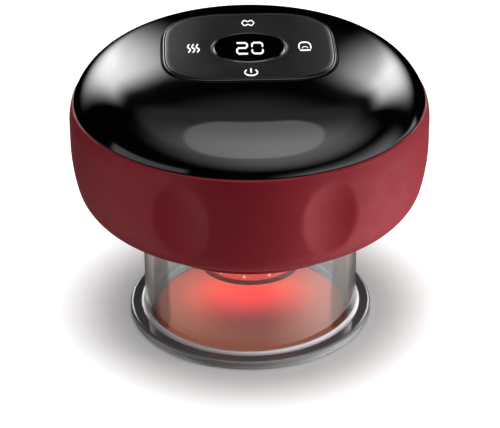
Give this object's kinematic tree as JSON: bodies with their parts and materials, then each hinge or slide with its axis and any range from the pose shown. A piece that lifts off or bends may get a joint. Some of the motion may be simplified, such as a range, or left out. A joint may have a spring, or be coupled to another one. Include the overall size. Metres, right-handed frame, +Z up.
{
  "type": "electric cupping massager",
  "caption": "Pebble-shaped electric cupping massager: glossy domed cover with touch panel and display over a dark red grip shell, a clear flanged suction cup and a warm lamp head inside it.",
  "frame": {"origin": "centre of the plane that the cup's rim stands on, at the middle of the bounding box's bottom face", "axes": "+Z up along the cup's axis, -Y to the front, where the display is read from, +X to the user's right"},
  "size_m": [0.092, 0.092, 0.0764],
  "materials": {
    "cup_clear": "clear polished",
    "grip_red": "soft-touch",
    "cover_black": "high gloss",
    "panel_dark": "satin",
    "window_black": "smoked gloss",
    "head_black": "satin",
    "lamp_red": "clear red, lit",
    "lamp_board": "satin",
    "heat_plate": "brushed",
    "heater_film": "satin",
    "black_plastic": "satin",
    "white_plastic": "satin",
    "silicone": "matt",
    "foam": "matt",
    "steel": "brushed",
    "socket_steel": "satin",
    "copper": "enamelled wire",
    "board_green": "satin",
    "cell_blue": "sleeved",
    "lead_white": "satin",
    "lead_red": "satin"
  },
  "bodies": {
    "housing": {"grip_shell": "grip_red", "top_cover": "cover_black", "touch_panel": "panel_dark", "panel_gasket": "foam", "display_window": "window_black", "main_board": "board_green", "board_screw_1": "steel", "board_screw_2": "steel", "board_screw_3": "steel", "display_module": "white_plastic", "touch_pad_suction": "foam", "touch_pad_mode": "foam", "touch_pad_heat": "foam", "touch_pad_power": "foam", "buzzer": "black_plastic", "control_chip": "black_plastic", "base_plate": "black_plastic", "cup_seal": "silicone", "air_filter": "foam", "filter_cap": "black_plastic", "head_ring": "head_black", "heat_plate": "heat_plate", "heater_film": "heater_film", "head_magnet": "steel", "lamp_ring": "lamp_red", "lamp_board": "lamp_board", "head_drum": "head_black", "head_screw_1": "steel", "head_screw_2": "steel", "chassis": "white_plastic", "base_screw_1": "steel", "base_screw_2": "steel", "base_screw_3": "steel", "battery_cell": "cell_blue", "charge_socket": "socket_steel", "charge_board": "board_green", "motor_can": "steel", "motor_end_cap": "white_plastic", "pump_crankcase": "black_plastic", "pump_wobble_plate": "white_plastic", "pump_diaphragm": "silicone", "pump_head": "black_plastic", "retaining_strap": "steel", "strap_screw_1": "steel", "strap_screw_2": "steel", "valve_body": "steel", "valve_spring": "steel", "valve_cap": "black_plastic", "pump_hose": "silicone", "valve_hose": "silicone", "lamp_lead": "lead_white", "battery_lead": "lead_red", "motor_lead": "lead_red"},
    "suction_cup": {"cup": "cup_clear"},
    "pump_rotor": {"motor_rotor": "copper", "pump_crank_wheel": "white_plastic"},
    "release_plunger": {"valve_plunger": "steel"}
  },
  "joints": [
    {"name": "cup_pull_off", "type": "slide", "parent": "housing", "child": "suction_cup", "axis": [0, 0, -1], "range_m": [0, 0.012]},
    {"name": "pump_motor_spin", "type": "hinge", "parent": "housing", "child": "pump_rotor", "pos_m": [-0.001, -0.006, 0.0508], "axis": [1, 0, 0], "continuous": true},
    {"name": "release_plunger_slide", "type": "slide", "parent": "housing", "child": "release_plunger", "axis": [0, 0, -1], "range_m": [0, 0.0012], "stiffness_N_per_m": 60, "springref_m": -0.003, "deforming": ["valve_spring"]}
  ]
}
